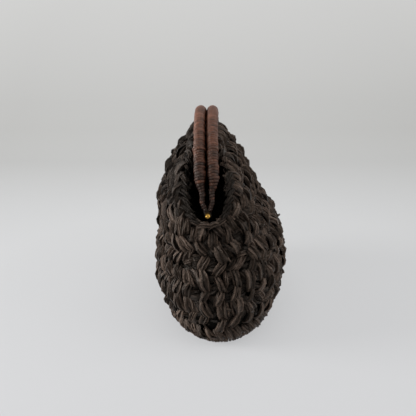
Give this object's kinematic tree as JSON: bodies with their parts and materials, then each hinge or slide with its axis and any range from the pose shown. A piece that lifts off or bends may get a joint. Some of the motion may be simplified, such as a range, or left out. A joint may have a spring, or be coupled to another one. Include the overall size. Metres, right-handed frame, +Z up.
{
  "type": "woven frame bag",
  "caption": "Soft woven raffia pouch bag, hung on hinged wire arches that are wound with raffia as handles and swing apart to open its mouth.",
  "frame": {"origin": "middle of the woven base, on the surface that the bag stands on", "axes": "+X along the bag from the far hinge to the near hinge, +Y from the front face to the back face, +Z up"},
  "size_m": [0.2394, 0.131, 0.2012],
  "materials": {
    "woven_raffia": "coarse matt weave of plump raffia cords",
    "wound_raffia": "tight raffia winding with a slight sheen",
    "steel_wire": "dull drawn wire",
    "brass": "polished brass"
  },
  "bodies": {
    "pouch": {"woven_base": "woven_raffia", "base_border": "woven_raffia", "foot_wall": "woven_raffia", "belly_wall": "woven_raffia", "front_fold": "woven_raffia", "back_fold": "woven_raffia", "near_hinge_rivet": "brass", "far_hinge_rivet": "brass"},
    "front_arch": {"front_rod": "steel_wire", "front_grip_winding": "wound_raffia", "front_near_leg_sleeve": "wound_raffia", "front_far_leg_sleeve": "wound_raffia", "front_panel": "woven_raffia"},
    "back_arch": {"back_rod": "steel_wire", "back_grip_winding": "wound_raffia", "back_near_leg_sleeve": "wound_raffia", "back_far_leg_sleeve": "wound_raffia", "back_panel": "woven_raffia"}
  },
  "joints": [
    {"name": "front_arch_swing", "type": "hinge", "parent": "pouch", "child": "front_arch", "pos_m": [0, -0.011, 0.121], "axis": [1, 0, 0], "range_deg": [0, 35], "deforming": ["front_fold"]},
    {"name": "back_arch_swing", "type": "hinge", "parent": "pouch", "child": "back_arch", "pos_m": [0, -0.011, 0.121], "axis": [-1, 0, 0], "range_deg": [0, 35], "deforming": ["back_fold"]}
  ]
}
